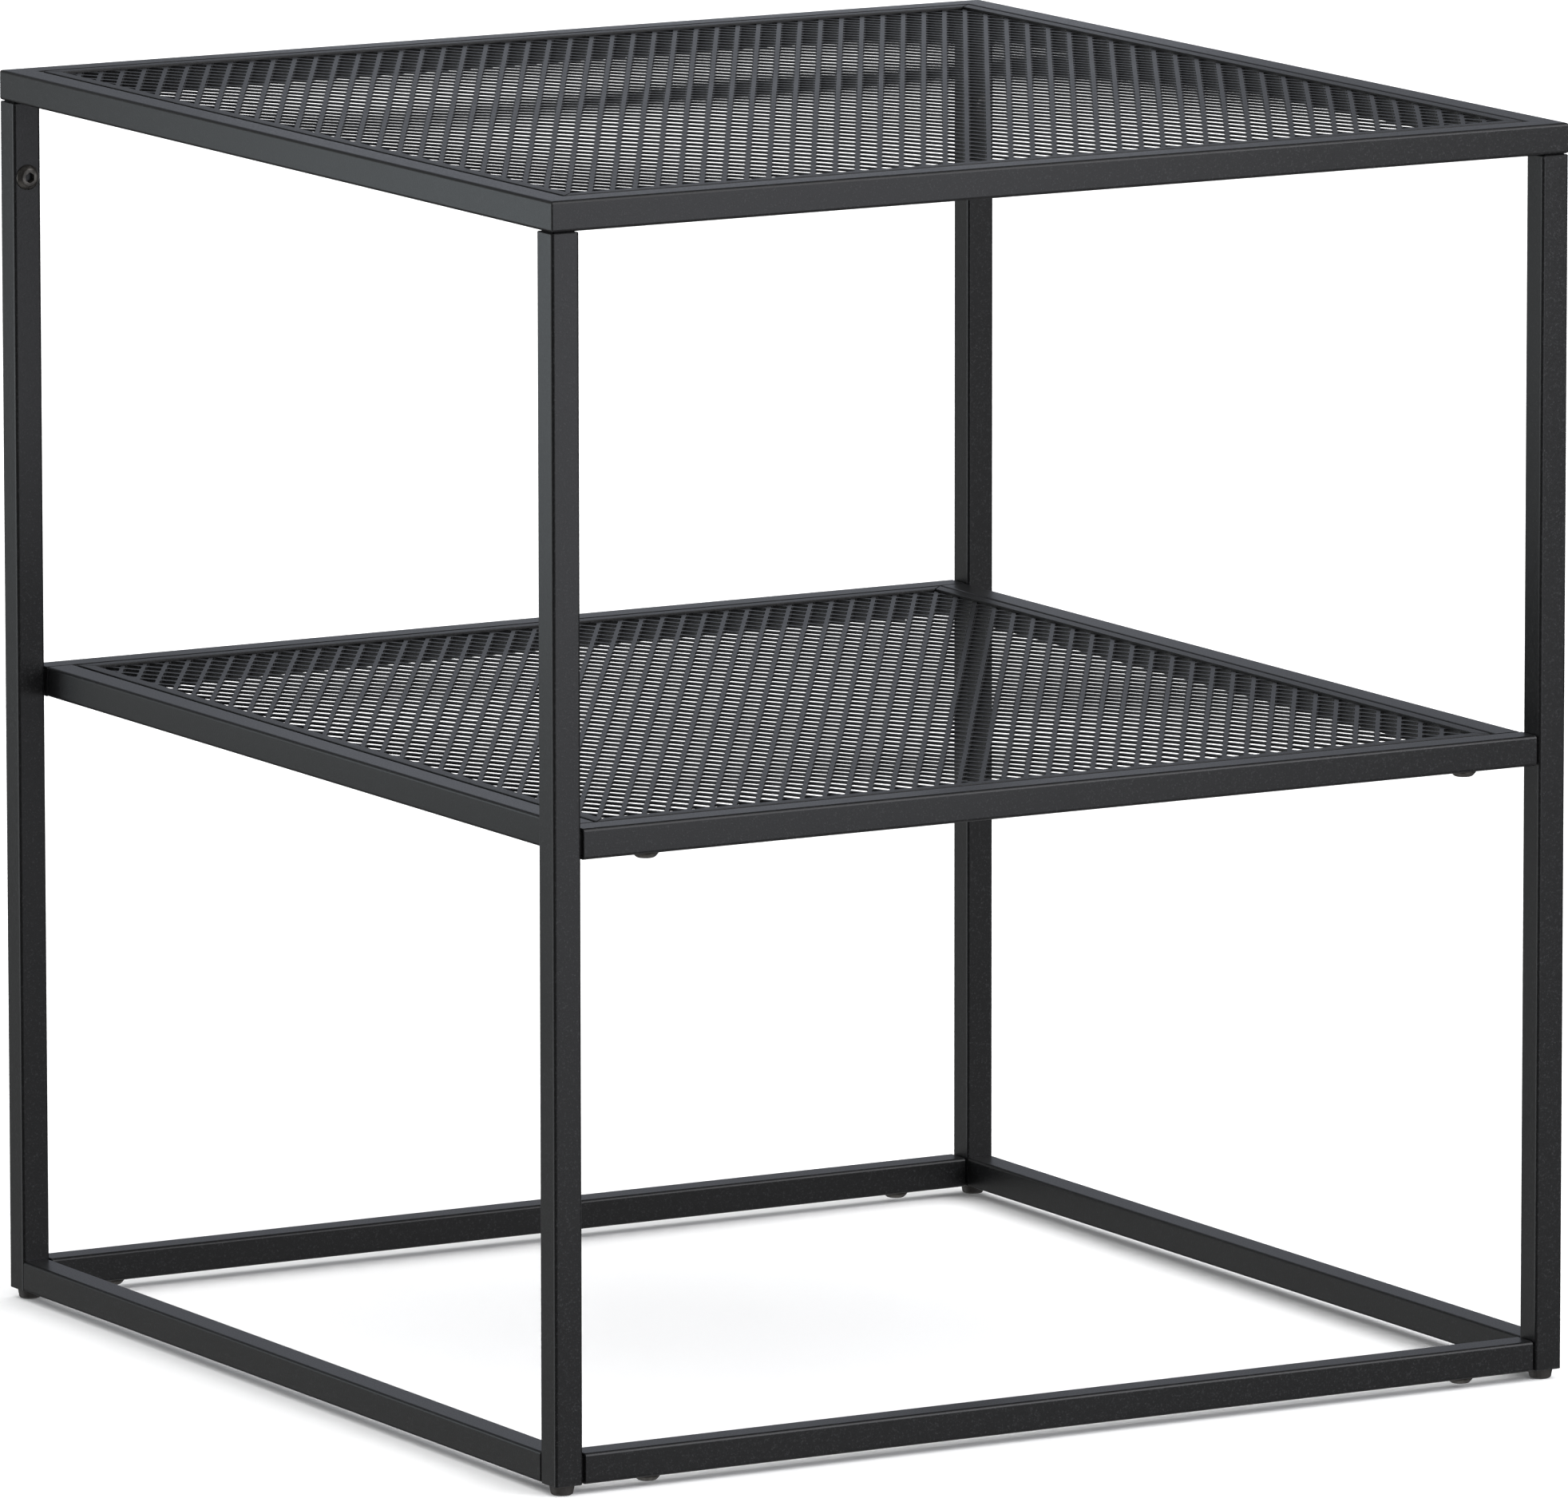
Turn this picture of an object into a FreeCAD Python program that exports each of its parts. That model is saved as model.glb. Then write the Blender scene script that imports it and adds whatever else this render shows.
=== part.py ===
"""Two-tier square side table in black powder-coated steel tube, with mesh table top and shelf.

Every length is in millimetres. The origin is on the floor under the table's centre, +Z is up,
+X runs along the front from left to right, and the front faces -Y.

The table comes apart into a top frame, two side frames, a shelf frame and two bottom cross rails.
Solid spigots join them, and each spigot is held by one button-head screw.
"""
import FreeCAD, Part
import math
import os
import re

Vector = FreeCAD.Vector
Rotation = FreeCAD.Rotation
X_AXIS = Vector(1, 0, 0)
Y_AXIS = Vector(0, 1, 0)
Z_AXIS = Vector(0, 0, 1)
STRAIGHT = 1e-6                  # an edge is straight along an axis within this length

DIMENSIONS = (
    ("table_width", 450.0),      # along X, over the tubes
    ("table_depth", 450.0),      # along Y, over the tubes
    ("table_height", 495.0),     # floor to the table top
    ("shelf_height", 256.0),     # floor to the top of the shelf frame
    ("tube_size", 12.0),         # square tube, outside
    ("tube_wall", 1.2),
    ("tube_round", 1.3),         # outer corner radius of the tube
    ("leg_top_gap", 0.4),        # shadow gap between a leg and the top frame
    ("side_gap", 1.0),           # gap between a leg and a cross rail
    ("panel_gap", 1.0),          # gap between a frame and the strips inside it
    ("strip_width", 5.0),        # flat strip that borders each mesh
    ("strip_thick", 1.0),
    ("mitre_gap", 0.4),          # hairline between two strips at a corner
    ("strand_pitch", 9.75),      # short way of the diamond, along X
    ("strand_rise", 16.15),      # long way of the diamond, along Y
    ("strand_width", 1.72),
    ("strand_thick", 0.5),
    ("mesh_lap", 4.5),           # how far the mesh reaches under a strip
    ("spigot_size", 9.4),
    ("spigot_edge", 0.5),        # chamfer round the spigot
    ("spigot_length", 40.0),
    ("screw_inset", 30.0),       # tube end to screw axis
    ("screw_thread", 6.0),
    ("screw_grip", 8.0),         # shank length under the head
    ("screw_clear", 6.5),        # clearance hole in a tube wall
    ("thread_slack", 0.1),       # on the diameter, tapped hole over shank
    ("head_width", 10.0),
    ("head_face", 6.7),          # flat ring round the socket
    ("head_high", 2.2),
    ("socket_flats", 4.0),
    ("socket_deep", 1.8),
    ("foot_height", 4.0),
    ("foot_width", 10.0),
    ("foot_tip", 9.0),
    ("foot_round", 0.9),
    ("plug_length", 9.0),        # part of a foot that is pressed into the leg
    ("bead_radius", 2.6),        # tack weld in the corner under a strip
    ("bead_length", 14.0),
    ("bead_offset", 120.0),      # tack welds either side of a rail's middle
    ("cut_over", 1.0),           # how far a cut runs past the wall it goes through
)

SIDES = (
    # name, turn about Z that points local +Y outwards, outward X, outward Y
    ("front", 180, 0, -1),
    ("right", -90, 1, 0),
    ("back", 0, 0, 1),
    ("left", 90, -1, 0),
)
CORNERS = (
    ("front_left", -1, -1),
    ("front_right", 1, -1),
    ("back_right", 1, 1),
    ("back_left", -1, 1),
)

doc = FreeCAD.newDocument("side_table")
nodes = []


def make_sheet():
    """The spreadsheet of driving dimensions: names in column A, values in column B."""
    sheet = doc.addObject("Spreadsheet::Sheet", "Dims")
    for row, (alias, value) in enumerate(DIMENSIONS, start=1):
        sheet.set(f"A{row}", alias)
        sheet.set(f"B{row}", str(value))
        sheet.setAlias(f"B{row}", alias)
    doc.recompute()
    return sheet


dims = make_sheet()


def expression(text):
    """Puts the sheet's name before each dimension in a formula."""
    return re.sub(r"\b[a-z]+(_[a-z]+)+\b", r"Dims.\g<0>", text)


def value(text):
    """The number that a formula of the sheet's dimensions gives."""
    return float(dims.evalExpression(expression(text)))


def bind(item, **formulas):
    for name, text in formulas.items():
        item.setExpression(name, expression(text))


def put(item, x="0", y="0", z="0"):
    """Binds an object's position to the sheet."""
    for axis, text in (("x", x), ("y", y), ("z", z)):
        item.setExpression("Placement.Base." + axis, expression(text))


def node(item, label):
    """Marks a finished object as a sub-part."""
    item.Label = label
    nodes.append(item)
    return item


def feature(body, kind, corner, **formulas):
    """A primitive of a body, with its corner or centre given as three formulas."""
    item = body.newObject("PartDesign::" + kind, kind)
    bind(item, **formulas)
    put(item, *corner)
    return item


def edges_along(shape, axis):
    """Names of the straight edges that run along an axis, by its number."""
    names = []
    for number, edge in enumerate(shape.Edges, start=1):
        start, end = (vertex.Point for vertex in edge.Vertexes)
        run = end - start
        if abs(abs(run[axis]) - run.Length) < STRAIGHT:
            names.append(f"Edge{number}")
    return names


def dress(body, kind, base, edges, **formulas):
    """A fillet or chamfer on named edges."""
    item = body.newObject("PartDesign::" + kind, kind)
    item.Base = (base, edges)
    bind(item, **formulas)
    return item


def square_tube(name, length):
    """A body with a tube along its X axis, inner side face on y = 0, underside on z = 0."""
    body = doc.addObject("PartDesign::Body", name)
    start = f"-({length}) / 2"
    block = feature(body, "AdditiveBox", (start, "0", "0"),
                    Length=length, Width="tube_size", Height="tube_size")
    doc.recompute()
    dress(body, "Fillet", block, edges_along(block.Shape, 0), Radius="tube_round")
    doc.recompute()
    feature(body, "SubtractiveBox", (start, "tube_wall", "tube_wall"),
            Length=length, Width="tube_size - 2 * tube_wall", Height="tube_size - 2 * tube_wall")
    return body


def mitre_ends(body, length, width, height, slack="0"):
    """Cuts both ends at 45 degrees, so that the side on y = 0 is the short one."""
    far = f"({length}) / 2"
    spans = (
        (f"{far} - {width} - {slack}", far, f"{far} - {slack}", far),
        (f"-{far}", f"-{far} + {width} + {slack}", f"-{far}", f"-{far} + {slack}"),
    )
    for low, high, tip_low, tip_high in spans:
        feature(body, "SubtractiveWedge", ("0", "0", "0"),
                Xmin=low, Xmax=high, X2min=tip_low, X2max=tip_high,
                Ymin="0", Ymax=width, Zmin="0", Zmax=height, Z2min="0", Z2max=height)


def drill(body, x, y, z, direction, radius, depth):
    """A round hole from a point, along a direction."""
    hole = feature(body, "SubtractiveCylinder", (x, y, z), Radius=radius, Height=depth)
    hole.Placement.Rotation = Rotation(Z_AXIS, direction)
    return hole


def side_span(out_x):
    """The table's size along a side, and across the table to the opposite side."""
    return ("table_depth", "table_width") if out_x else ("table_width", "table_depth")


def place_side(body, turn, out_x, out_y, distance, z):
    """Turns a bar to its side of the table and moves it out from the centre."""
    body.Placement.Rotation = Rotation(Z_AXIS, turn)
    put(body, f"{out_x} * ({distance})", f"{out_y} * ({distance})", z)


def top_frame():
    """Four mitred tubes, welded and ground flush."""
    for name, turn, out_x, out_y in SIDES:
        along, across = side_span(out_x)
        rail = square_tube("TopRail", along)
        mitre_ends(rail, along, "tube_size", "tube_size")
        place_side(rail, turn, out_x, out_y, f"{across} / 2 - tube_size",
                   "table_height - tube_size")
        node(rail, f"top_rail_{name}")


def shelf_frame():
    """Front and back tubes run through, with open ends for the spigots. Side tubes butt between."""
    for name, turn, out_x, out_y in SIDES:
        if out_x:
            rail = square_tube("ShelfRail", "table_depth - 2 * tube_size")
            distance = "table_width / 2 - 2 * tube_size - side_gap"
        else:
            rail = cross_tube("ShelfRail")
            distance = "table_depth / 2 - tube_size"
        place_side(rail, turn, out_x, out_y, distance, "shelf_height - tube_size")
        node(rail, f"shelf_rail_{name}")


def cross_tube(name):
    """A tube that spans from one side frame to the other, drilled underneath at both ends."""
    length = "(table_width - 2 * tube_size - 2 * side_gap)"
    body = square_tube(name, length)
    for sign in (-1, 1):
        drill(body, f"{sign} * ({length} / 2 - screw_inset)", "tube_size / 2", "0",
              Z_AXIS, "screw_clear / 2", "tube_wall + cut_over")
    return body


def bottom_rails():
    """Side rails are welded to the legs. Front and back rails hang on spigots."""
    for name, turn, out_x, out_y in SIDES:
        if out_x:
            rail = square_tube("BottomRail", "table_depth - 2 * tube_size")
            distance = "table_width / 2 - tube_size"
        else:
            rail = cross_tube("BottomRail")
            distance = "table_depth / 2 - tube_size"
        place_side(rail, turn, out_x, out_y, distance, "foot_height")
        node(rail, f"bottom_rail_{name}")


def leg(name, out_x, out_y):
    """An upright tube, with a screw hole in the face that looks at the other leg of its side."""
    length = "(table_height - tube_size - leg_top_gap - foot_height)"
    body = doc.addObject("PartDesign::Body", "Leg")
    block = feature(body, "AdditiveBox", ("-tube_size / 2", "-tube_size / 2", "0"),
                    Length="tube_size", Width="tube_size", Height=length)
    doc.recompute()
    dress(body, "Fillet", block, edges_along(block.Shape, 2), Radius="tube_round")
    doc.recompute()
    inner = "tube_size / 2 - tube_wall"
    feature(body, "SubtractiveBox", (f"-({inner})", f"-({inner})", "0"),
            Length=f"2 * ({inner})", Width=f"2 * ({inner})", Height=length)
    drill(body, "0", inner, f"{length} + leg_top_gap - screw_inset",
          Y_AXIS, "screw_clear / 2", "tube_wall + cut_over")
    place_corner(body, out_x, out_y, "foot_height")
    node(body, f"leg_{name}")


def place_corner(body, out_x, out_y, z):
    """Stands a piece on a leg's axis, with its local +Y towards the other leg of its side."""
    body.Placement.Rotation = Rotation(Z_AXIS, 90 + 90 * out_y)
    put(body, f"{out_x} * (table_width - tube_size) / 2",
        f"{out_y} * (table_depth - tube_size) / 2", z)


def spigot(name, tap_axis, tap_at):
    """A solid bar along its X axis from x = 0, tapped right through along local Y or Z."""
    body = doc.addObject("PartDesign::Body", name)
    block = feature(body, "AdditiveBox", ("0", "-spigot_size / 2", "-spigot_size / 2"),
                    Length="spigot_length", Width="spigot_size", Height="spigot_size")
    doc.recompute()
    dress(body, "Chamfer", block, edges_along(block.Shape, 0), Size="spigot_edge")
    doc.recompute()
    reach = "spigot_size / 2 + cut_over"
    drill(body, tap_at, f"-{tap_axis.y} * ({reach})", f"-{tap_axis.z} * ({reach})",
          tap_axis, "(screw_thread + thread_slack) / 2", f"2 * ({reach})")
    return body


def leg_spigots():
    """Bars that hang from the top frame's corners into the legs."""
    for name, out_x, out_y in CORNERS:
        bar = spigot("LegSpigot", Y_AXIS, "screw_inset")
        upright = Rotation(Y_AXIS, 90)
        bar.Placement.Rotation = Rotation(Z_AXIS, 90 + 90 * out_y) * upright
        put(bar, f"{out_x} * (table_width - tube_size) / 2",
            f"{out_y} * (table_depth - tube_size) / 2", "table_height - tube_size")
        node(bar, f"leg_spigot_{name}")


def cross_spigots(kind, rail_bottom):
    """Bars welded to the legs' inner faces, inside the ends of the cross tubes."""
    for name, out_x, out_y in CORNERS:
        bar = spigot("CrossSpigot", Z_AXIS, "side_gap + screw_inset")
        bar.Placement.Rotation = Rotation(Z_AXIS, 90 + 90 * out_x)
        put(bar, f"{out_x} * (table_width / 2 - tube_size)",
            f"{out_y} * (table_depth - tube_size) / 2", f"{rail_bottom} + tube_size / 2")
        node(bar, f"{kind}_spigot_{name}")


def foot(name, out_x, out_y):
    """A plastic glide: a square plug in the leg over a round, tapered pad."""
    body = doc.addObject("PartDesign::Body", "Foot")
    pad = feature(body, "AdditiveCone", ("0", "0", "0"),
                  Radius1="foot_tip / 2", Radius2="foot_width / 2", Height="foot_height")
    doc.recompute()
    rim = min(range(len(pad.Shape.Edges)), key=lambda k: pad.Shape.Edges[k].CenterOfMass.z)
    dress(body, "Fillet", pad, [f"Edge{rim + 1}"], Radius="foot_round")
    doc.recompute()
    feature(body, "AdditiveBox", ("-spigot_size / 2", "-spigot_size / 2", "foot_height"),
            Length="spigot_size", Width="spigot_size", Height="plug_length")
    place_corner(body, out_x, out_y, "0")
    node(body, f"foot_{name}")


def strips(kind, half_x, half_y, top):
    """The flat border of a mesh: four mitred strips, flush with the frame around them."""
    for name, turn, out_x, out_y in SIDES:
        along, across = (half_y, half_x) if out_x else (half_x, half_y)
        length = f"2 * ({along} - panel_gap)"
        body = doc.addObject("PartDesign::Body", "Strip")
        feature(body, "AdditiveBox", (f"-({length}) / 2", "0", "0"),
                Length=length, Width="strip_width", Height="strip_thick")
        mitre_ends(body, length, "strip_width", "strip_thick", "mitre_gap / 2 * sqrt(2)")
        place_side(body, turn, out_x, out_y, f"{across} - panel_gap - strip_width",
                   f"{top} - strip_thick")
        node(body, f"{kind}_strip_{name}")


def clip_low(points, axis, limit):
    """The part of a convex outline whose coordinate is at least the limit."""
    kept = []
    for here, there in zip(points, points[1:] + points[:1]):
        if here[axis] >= limit:
            kept.append(here)
        if (here[axis] >= limit) != (there[axis] >= limit):
            share = (limit - here[axis]) / (there[axis] - here[axis])
            kept.append(here + (there - here) * share)
    return kept


def clip_rectangle(points, half_x, half_y):
    """The part of a convex outline inside a centred rectangle."""
    for _ in range(2):
        points = clip_low(points, 0, -half_x)
        points = clip_low(points, 1, -half_y)
        points = [-point for point in points]
    return points


def strand_layer(slope, half_x, half_y, thick):
    """Parallel strands across a rectangle, leaning to the right or to the left."""
    pitch, rise = value("strand_pitch"), value("strand_rise")
    reach = half_y * pitch / rise + value("strand_width")
    half_cut = value("strand_width") / 2 / math.sin(math.atan2(rise, pitch))
    smallest = value("strand_width") ** 2
    end = half_y + value("cut_over")
    lean = slope * end * pitch / rise
    count = int((half_x + reach) / pitch) + 1
    solids = []
    for number in range(-count, count + 1):
        middle = number * pitch
        outline = [Vector(middle - lean - half_cut, -end, 0),
                   Vector(middle - lean + half_cut, -end, 0),
                   Vector(middle + lean + half_cut, end, 0),
                   Vector(middle + lean - half_cut, end, 0)]
        outline = clip_rectangle(outline, half_x, half_y)
        if not outline:
            continue
        face = Part.Face(Part.makePolygon(outline + outline[:1]))
        if face.Area > smallest:
            solids.append(face.extrude(Z_AXIS * thick))
    return solids


def mesh(kind, half_x, half_y, top):
    """Diamond mesh under the strips: one layer of strands leans right, and one below leans left."""
    inset = "(panel_gap + strip_width - mesh_lap)"
    reach_x, reach_y = value(f"{half_x} - {inset}"), value(f"{half_y} - {inset}")
    thick = value("strand_thick")
    strands = []
    for layer, slope in ((1, 1), (2, -1)):
        for strand in strand_layer(slope, reach_x, reach_y, thick):
            strand.translate(Z_AXIS * -layer * thick)
            strands.append(strand)
    item = doc.addObject("Part::Feature", "Mesh")
    item.Shape = Part.makeCompound(strands)
    item.Placement.Base = Z_AXIS * value(f"{top} - strip_thick")
    node(item, f"{kind}_mesh")


def group(label, members):
    """One sub-part made of equal pieces that don't touch."""
    item = doc.addObject("Part::Compound", "Group")
    item.Links = members
    return node(item, label)


def screw():
    """A button-head screw along Z: head below z = 0, shank above, hexagon socket in the head."""
    shank = doc.addObject("Part::Cylinder", "Shank")
    bind(shank, Radius="screw_thread / 2", Height="screw_grip")
    head = doc.addObject("Part::Cone", "Head")
    bind(head, Radius1="head_face / 2", Radius2="head_width / 2", Height="head_high")
    put(head, z="-head_high")
    joined = doc.addObject("Part::Fuse", "Blank")
    joined.Base, joined.Tool = head, shank
    socket = doc.addObject("Part::Prism", "Socket")
    socket.Polygon = 6
    bind(socket, Circumradius="socket_flats / sqrt(3)", Height="socket_deep")
    put(socket, z="-head_high")
    blank = doc.addObject("Part::Cut", "Screw")
    blank.Base, blank.Tool = joined, socket
    return blank


def screws(label, places):
    """Equal screws, each with the direction that its shank points and its seat as formulas."""
    members = []
    for direction, x, y, z in places:
        item = screw()
        item.Placement.Rotation = Rotation(Z_AXIS, direction)
        put(item, x, y, z)
        members.append(item)
    group(label, members)


def all_screws():
    """Screws through the legs, and up through the shelf's and the bottom's cross tubes."""
    leg_axis = "(table_width - tube_size) / 2"
    seat = "(table_depth / 2 - tube_size)"
    height = "table_height - tube_size - screw_inset"
    screws("leg_screws", [(Vector(0, out_y, 0), f"{out_x} * {leg_axis}", f"{out_y} * {seat}", height)
                          for _, out_x, out_y in CORNERS])
    along = "(table_width / 2 - tube_size - side_gap - screw_inset)"
    for label, bottom in (("shelf_screws", "shelf_height - tube_size"),
                          ("bottom_screws", "foot_height")):
        screws(label, [(Z_AXIS, f"{out_x} * {along}",
                        f"{out_y} * (table_depth - tube_size) / 2", bottom)
                       for _, out_x, out_y in CORNERS])


def tack_welds(kind, half_x, half_y, top):
    """Quarter-round beads in the corners between a frame's inner faces and its mesh."""
    members = []
    lying = Rotation(-Y_AXIS, -Z_AXIS, X_AXIS, "XYZ")
    for _, turn, out_x, out_y in SIDES:
        across = half_x if out_x else half_y
        for sign in (-1, 1):
            bead = doc.addObject("Part::Cylinder", "Bead")
            bead.Angle = 90
            bind(bead, Radius="bead_radius", Height="bead_length")
            bead.Placement.Rotation = Rotation(Z_AXIS, turn) * lying
            start = f"({sign} * bead_offset - bead_length / 2)"
            put(bead, f"{out_x} * {across} + {out_y} * {start}",
                f"{out_y} * {across} - {out_x} * {start}",
                f"{top} - strip_thick - 2 * strand_thick")
            members.append(bead)
    group(f"{kind}_tack_welds", members)


def panel(kind, half_x, half_y, top):
    """A mesh with its border strips and the tack welds that hold it in a frame."""
    strips(kind, half_x, half_y, top)
    mesh(kind, half_x, half_y, top)
    tack_welds(kind, half_x, half_y, top)


def build():
    inside_x = "(table_width / 2 - tube_size)"
    inside_y = "(table_depth / 2 - tube_size)"
    top_frame()
    panel("top", inside_x, inside_y, "table_height")
    leg_spigots()
    for corner in CORNERS:
        leg(*corner)
        foot(*corner)
    shelf_frame()
    panel("shelf", "(table_width / 2 - 2 * tube_size - side_gap)", inside_y, "shelf_height")
    cross_spigots("shelf", "shelf_height - tube_size")
    bottom_rails()
    cross_spigots("bottom", "foot_height")
    all_screws()
    doc.recompute()


def check():
    """Stops before anything is written if an object failed or a shape is unsound."""
    for item in doc.Objects:
        if "Invalid" in item.State or "Error" in item.State:
            raise RuntimeError(f"{item.Name} ({item.Label}) failed: {item.State}")
    for item in nodes:
        if item.Shape.isNull() or not item.Shape.isValid():
            raise RuntimeError(f"{item.Label} has an unsound shape")


def export():
    os.makedirs("parts", exist_ok=True)
    for item in nodes:
        item.Shape.exportStep(f"parts/{item.Label}.step")
    print(len(nodes), "sub-parts written")


build()
check()
export()
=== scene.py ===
"""Looks of a two-tier side table: black powder-coated square tube, with an expanded-metal top and shelf.

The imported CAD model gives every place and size. Each tube, strip, mesh, screw, glide and weld gets a
finer piece that stands for its CAD node, and the spigots inside the tubes keep their CAD shapes.
Lengths are in metres: +Z is up, +X to the right along the front, and the front faces -Y.
"""
import math

import bmesh
import bpy
import numpy as np
from mathutils import Matrix, Vector, noise


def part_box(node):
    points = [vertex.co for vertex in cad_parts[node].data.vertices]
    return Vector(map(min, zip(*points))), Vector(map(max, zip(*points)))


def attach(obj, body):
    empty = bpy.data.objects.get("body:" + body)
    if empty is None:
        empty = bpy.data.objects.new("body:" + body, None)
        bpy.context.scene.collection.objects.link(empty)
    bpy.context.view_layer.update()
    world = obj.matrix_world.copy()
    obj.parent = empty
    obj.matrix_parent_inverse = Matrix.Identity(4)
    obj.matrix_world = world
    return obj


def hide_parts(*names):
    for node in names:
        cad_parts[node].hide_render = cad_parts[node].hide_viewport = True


MM = 0.001
SIDES = ("front", "right", "back", "left")
CORNERS = ("front_left", "front_right", "back_right", "back_left")

# Tubes and strips
TUBE_ROUND = 1.3 * MM          # outer corner radius of the tube
TUBE_WALL = 1.2 * MM
BORE_ROUND = 0.4 * MM          # corner radius inside the tube
TUBE_STEPS = 6                 # segments in a rounded tube corner
CUT_EDGE = 0.22 * MM           # softened edge of a sawn tube end
CORNER_ROUND = 0.7 * MM        # ground outer corner of the welded top frame
CORNER_STEPS = 3               # segments from a tube's outer face to its mitre there
SEAM_WIDE = 0.18 * MM          # half of the weld seam's width at a corner of the top frame
SEAM_DEEP = 0.12 * MM
STRIP_EDGE = 0.25 * MM         # softened upper edge of a strip
STRIP_BEND = 0.3               # where that edge bends, as a share of it

# Expanded metal
MESH_PITCH = 9.75 * MM         # short way of the diamond, along X
MESH_RISE = 16.15 * MM         # long way of the diamond, along Y
STRAND_WIDE = 1.72 * MM
TIP_ROUND = 0.75 * MM          # corner radius at the diamond's two sharp tips
TIP_STEPS = 3
SIDE_ROUND = 1.3 * MM          # and at its two blunt corners
SIDE_STEPS = 1
KNOT_SHARE = 0.2               # where a strand's side starts to turn, as a share of its length
WELD_WITHIN = 0.001 * MM       # points of neighbouring diamonds this close are one point
TRIM_WITHIN = 0.01 * MM

# How each sheet is laid: the middle of one hole and the swells in mm, and the turn of the diamonds in
# degrees. A swell is a smooth rise or dip: its place along X and Y, its reach both ways, and its height.
SHEETS = {
    "top": {"thick": 0.82 * MM, "hole_at": (1.65, -4.98), "turn": 0.81,
            "swells": ((0, 10, 145, 95, 3.2), (-165, -145, 80, 105, -2.4), (45, -145, 320, 95, 2.3),
                       (125, 80, 70, 180, 2.1), (-65, 45, 320, 50, -1.8))},
    "shelf": {"thick": 1.0 * MM, "hole_at": (1.35, 3.3), "turn": -1.22,
              "swells": ((-230, 70, 130, 50, 1.8), (100, -110, 110, 75, 1.7),
                         (-30, -195, 320, 45, 1.5), (5, -175, 55, 180, -1.3))},
}

# Screws
HEAD_RADIUS = 5.0 * MM
HEAD_HIGH = 2.2 * MM
HEAD_FACE = 3.35 * MM          # radius at which the dome would meet the flat ring
HEAD_RIM = 0.45 * MM           # upright edge under the dome
HEAD_SOFT = 0.15 * MM          # softened edges of the head
FACE_SOFT = 0.22 * MM          # how far inside that the ring's softened edge ends
DOME_STEPS = 9
SHANK_RADIUS = 3.0 * MM
SHANK_LONG = 1.1 * MM          # stub of the shank in the tube's wall
SOCKET_FLATS = 3.7 * MM
SOCKET_DEEP = 2.7 * MM
SOCKET_FLARE = 0.12 * MM       # how much wider its mouth is
SOCKET_EDGE = 0.08 * MM        # depth of that bevel
SOCKET_POINT = 0.3 * MM        # depth of the drill's cone below it
SOCKET_TIP = 0.2               # radius of the cone's end, as a share of the flats
ROUND_STEPS = 48               # segments round a screw or a glide

# Glides
GLIDE_TIP = 0.88               # radius of the pad's lower end, as a share of its upper one
GLIDE_ROUND = 0.3              # rounding of its lower edge, as a share of its height
GLIDE_EYE = 0.3                # small ring in its underside, as a share of the lower end
GLIDE_STEPS = 6
GLIDE_SHOULDER = 0.3 * MM      # straight band below the leg
GLIDE_BEVEL = (0.15 * MM, 0.5 * MM)    # and the bevel under it: inwards, and down from the leg
PLUG_HALF = 4.7 * MM
PLUG_ROUND = 0.6 * MM
PLUG_ROUND_STEPS = 3
PLUG_OVERLAP = 0.02 * MM       # of the plug and the pad
PLUG_LEAD = (0.8 * MM, 1.2 * MM)       # tapered lead-in: inwards and along

# Welds under the meshes
BEAD_LONG = 14.0 * MM
BEAD_RADIUS = 2.6 * MM
BEAD_OFFSET = 120.0 * MM       # from a rail's middle to a weld's middle
BEAD_STEPS = 28                # segments along a bead
BEAD_ROUND_STEPS = 8           # and round it
BEAD_END = 0.02                # share of the length at which a bead's end is cut off
BEAD_TAPER = 0.4               # the smaller, the blunter its ends
BEAD_RIPPLES = 7
BEAD_RIPPLE = 0.07             # height of a ripple, as a share of the radius
BEAD_UNEVEN = 0.06             # irregular swelling, as a share of the radius
BEAD_GRAIN = (300, 90, 70)     # how fast that changes along, across and up, per metre

# Camera and lights
CAMERA_PLACE = (-3.332, -5.820, 1.363)
CAMERA_YAW = 29.82             # degrees to the right of +Y
CAMERA_PITCH = 9.54            # degrees below level
CAMERA_ROLL = -0.06
CAMERA_LENS = 396.6            # millimetres, for a sensor of SENSOR_WIDE
SENSOR_WIDE = 36.0
SIGHT = 200.0                  # how far the camera sees
FLOOR_REACH = 40.0
FLOOR_TONE = (0.86, 0.86, 0.86, 1)
FILL_LIGHT = 3.9               # soft light from above
FILL_ANGLE = 110               # degrees of sky that it comes from
FILL_SHADED = 0.4              # share of it that casts shadows
ROOM_LIGHT = 0.08              # what the paint mirrors of the room, apart from the glows

# Name, place, direction that it faces, width and height, power in watts, tint
SOFTBOXES = (
    ("front_right_low", (0.42, -1.35, 0.28), (-0.50, 0.87, 0), (0.5, 0.58), 2.4, (0.90, 0.92, 1)),
    ("front_right_high", (0.87, -1.35, 0.80), (-0.50, 0.87, 0), (0.5, 0.38), 4.3, (0.95, 0.95, 1)),
    ("back_left", (-0.97, 0.84, 0.38), (0.50, -0.87, 0), (0.5, 0.50), 1.50, (0.82, 0.93, 1)),
    ("back_right", (0.60, 1.10, 0.62), (-0.50, -0.87, 0), (0.45, 0.16), 0.12, (0.85, 0.90, 1)),
)

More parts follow.
